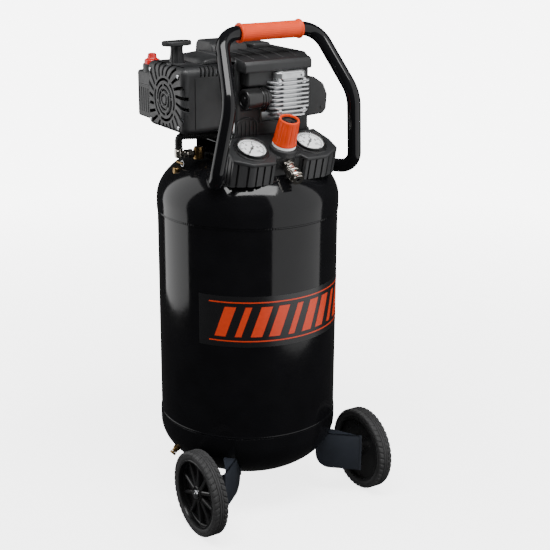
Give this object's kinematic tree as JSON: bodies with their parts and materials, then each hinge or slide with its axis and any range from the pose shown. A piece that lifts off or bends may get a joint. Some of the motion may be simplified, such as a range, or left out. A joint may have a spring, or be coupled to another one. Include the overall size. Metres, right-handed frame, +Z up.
{
  "type": "upright air compressor",
  "caption": "Upright wheeled air compressor: tall pressure tank with a direct-drive piston pump, gauges, pressure regulator, quick coupler and carrying handle on top.",
  "frame": {"origin": "middle of the bounding box's base, on the floor", "axes": "+Z up; the front, with the gauges, the handle and the wheels, faces -Y; +X is the right of a person who looks at the front"},
  "size_m": [0.397, 0.3884, 0.925],
  "materials": {
    "black_enamel": "gloss black powder coat",
    "bracket_paint": "satin dark blue-grey paint",
    "grey_plastic": "fine-textured moulded dark grey plastic",
    "black_plastic": "satin black moulded plastic",
    "orange_plastic": "satin orange moulded plastic",
    "orange_rubber": "soft matte orange grip",
    "red_plastic": "glossy red moulded plastic",
    "tyre_rubber": "matt grey-black rubber with moulded tread",
    "black_rubber": "matt black rubber",
    "cast_aluminium": "as-cast aluminium",
    "bright_steel": "zinc plated steel",
    "nickel": "nickel plate",
    "brass": "plain machined brass",
    "lamination": "stacked steel laminations",
    "dial_white": "printed white dial",
    "needle_black": "satin black",
    "clear_lens": "clear lens"
  },
  "bodies": {
    "compressor": {"check_valve": "brass", "coupler_body": "nickel", "crank_end_cover": "grey_plastic", "crankcase": "cast_aluminium", "cylinder": "cast_aluminium", "cylinder_head": "cast_aluminium", "discharge_hose": "black_rubber", "drain_valve_body": "brass", "gauge_left_case": "black_plastic", "gauge_left_dial": "dial_white", "gauge_left_lens": "clear_lens", "gauge_right_case": "black_plastic", "gauge_right_dial": "dial_white", "gauge_right_lens": "clear_lens", "handle_grip": "orange_rubber", "handle_tube": "black_enamel", "intake_filter": "black_plastic", "manifold_block": "cast_aluminium", "motor_cover": "grey_plastic", "motor_stator": "lamination", "overload_box": "grey_plastic", "panel_housing": "grey_plastic", "port_tube": "brass", "power_switch": "black_plastic", "pressure_switch": "black_plastic", "pump_cover": "grey_plastic", "pump_mount_front_left": "black_rubber", "pump_mount_front_right": "black_rubber", "pump_mount_rear_left": "black_rubber", "pump_mount_rear_right": "black_rubber", "pump_platform": "black_enamel", "rear_foot_bracket": "bracket_paint", "rear_foot_pad": "black_rubber", "regulator_ring": "dial_white", "safety_valve_body": "brass", "tank_bottom_head": "black_enamel", "tank_shell": "black_enamel", "tank_top_head": "black_enamel", "valve_plate": "bright_steel", "wheel_bracket_left": "bracket_paint", "wheel_bracket_right": "bracket_paint", "wheel_left_axle_bolt": "bright_steel", "wheel_right_axle_bolt": "bright_steel"},
    "left_wheel": {"wheel_left_tyre": "tyre_rubber", "wheel_left_hub": "black_plastic"},
    "right_wheel": {"wheel_right_tyre": "tyre_rubber", "wheel_right_hub": "black_plastic"},
    "motor_shaft": {"crankshaft": "bright_steel", "motor_rotor": "lamination", "cooling_fan": "black_plastic"},
    "piston": {"piston_and_rod": "cast_aluminium"},
    "switch_knob": {"switch_knob": "grey_plastic"},
    "overload_button": {"overload_button": "red_plastic"},
    "regulator_spindle": {"regulator_spindle": "bright_steel"},
    "regulator_knob": {"regulator_knob": "orange_plastic"},
    "coupler_sleeve": {"coupler_sleeve": "nickel"},
    "safety_valve_ring": {"safety_valve_ring": "bright_steel"},
    "drain_screw": {"drain_valve_screw": "brass"},
    "left_needle": {"gauge_left_needle": "needle_black"},
    "right_needle": {"gauge_right_needle": "needle_black"}
  },
  "joints": [
    {"name": "left_wheel_spin", "type": "hinge", "parent": "compressor", "child": "left_wheel", "pos_m": [-0.1845, -0.1137, 0.0805], "axis": [1, 0, 0], "continuous": true},
    {"name": "right_wheel_spin", "type": "hinge", "parent": "compressor", "child": "right_wheel", "pos_m": [0.1845, -0.1137, 0.0805], "axis": [1, 0, 0], "continuous": true},
    {"name": "motor_spin", "type": "hinge", "parent": "compressor", "child": "motor_shaft", "pos_m": [-0.11, 0.0228, 0.79], "axis": [1, 0, 0], "continuous": true},
    {"name": "piston_stroke", "type": "slide", "parent": "compressor", "child": "piston", "axis": [0, 1, 0], "range_m": [0, 0.022]},
    {"name": "switch_pull", "type": "slide", "parent": "compressor", "child": "switch_knob", "axis": [0, 0, 1], "range_m": [-0.006, 0]},
    {"name": "overload_press", "type": "slide", "parent": "compressor", "child": "overload_button", "axis": [0, 0, 1], "range_m": [-0.003, 0], "stiffness_N_per_m": 300, "springref_m": 0.001},
    {"name": "regulator_turn", "type": "hinge", "parent": "compressor", "child": "regulator_spindle", "pos_m": [0, -0.0987, 0.7065], "axis": [0, -0.342, 0.9397], "range_deg": [-900, 900]},
    {"name": "regulator_unlock", "type": "slide", "parent": "regulator_spindle", "child": "regulator_knob", "axis": [0, -0.342, 0.9397], "range_m": [0, 0.0035]},
    {"name": "coupler_release", "type": "slide", "parent": "compressor", "child": "coupler_sleeve", "axis": [0, 0.848, 0.5299], "range_m": [0, 0.005], "stiffness_N_per_m": 600, "springref_m": -0.002},
    {"name": "safety_pull", "type": "slide", "parent": "compressor", "child": "safety_valve_ring", "axis": [0, -1, 0], "range_m": [0, 0.003], "stiffness_N_per_m": 500, "springref_m": -0.001},
    {"name": "drain_turn", "type": "hinge", "parent": "compressor", "child": "drain_screw", "pos_m": [-0.152, 0.0328, 0.108], "axis": [-0.722, 0, -0.6919], "range_deg": [0, 540]},
    {"name": "left_needle_turn", "type": "hinge", "parent": "compressor", "child": "left_needle", "pos_m": [-0.0613, -0.0925, 0.7109], "axis": [0, 0.454, -0.891], "range_deg": [0, 270], "stiffness_Nm_per_rad": 0.0005, "springref_deg": -11.46},
    {"name": "right_needle_turn", "type": "hinge", "parent": "compressor", "child": "right_needle", "pos_m": [0.0613, -0.0925, 0.7109], "axis": [0, 0.454, -0.891], "range_deg": [0, 270], "stiffness_Nm_per_rad": 0.0005, "springref_deg": -11.46}
  ]
}
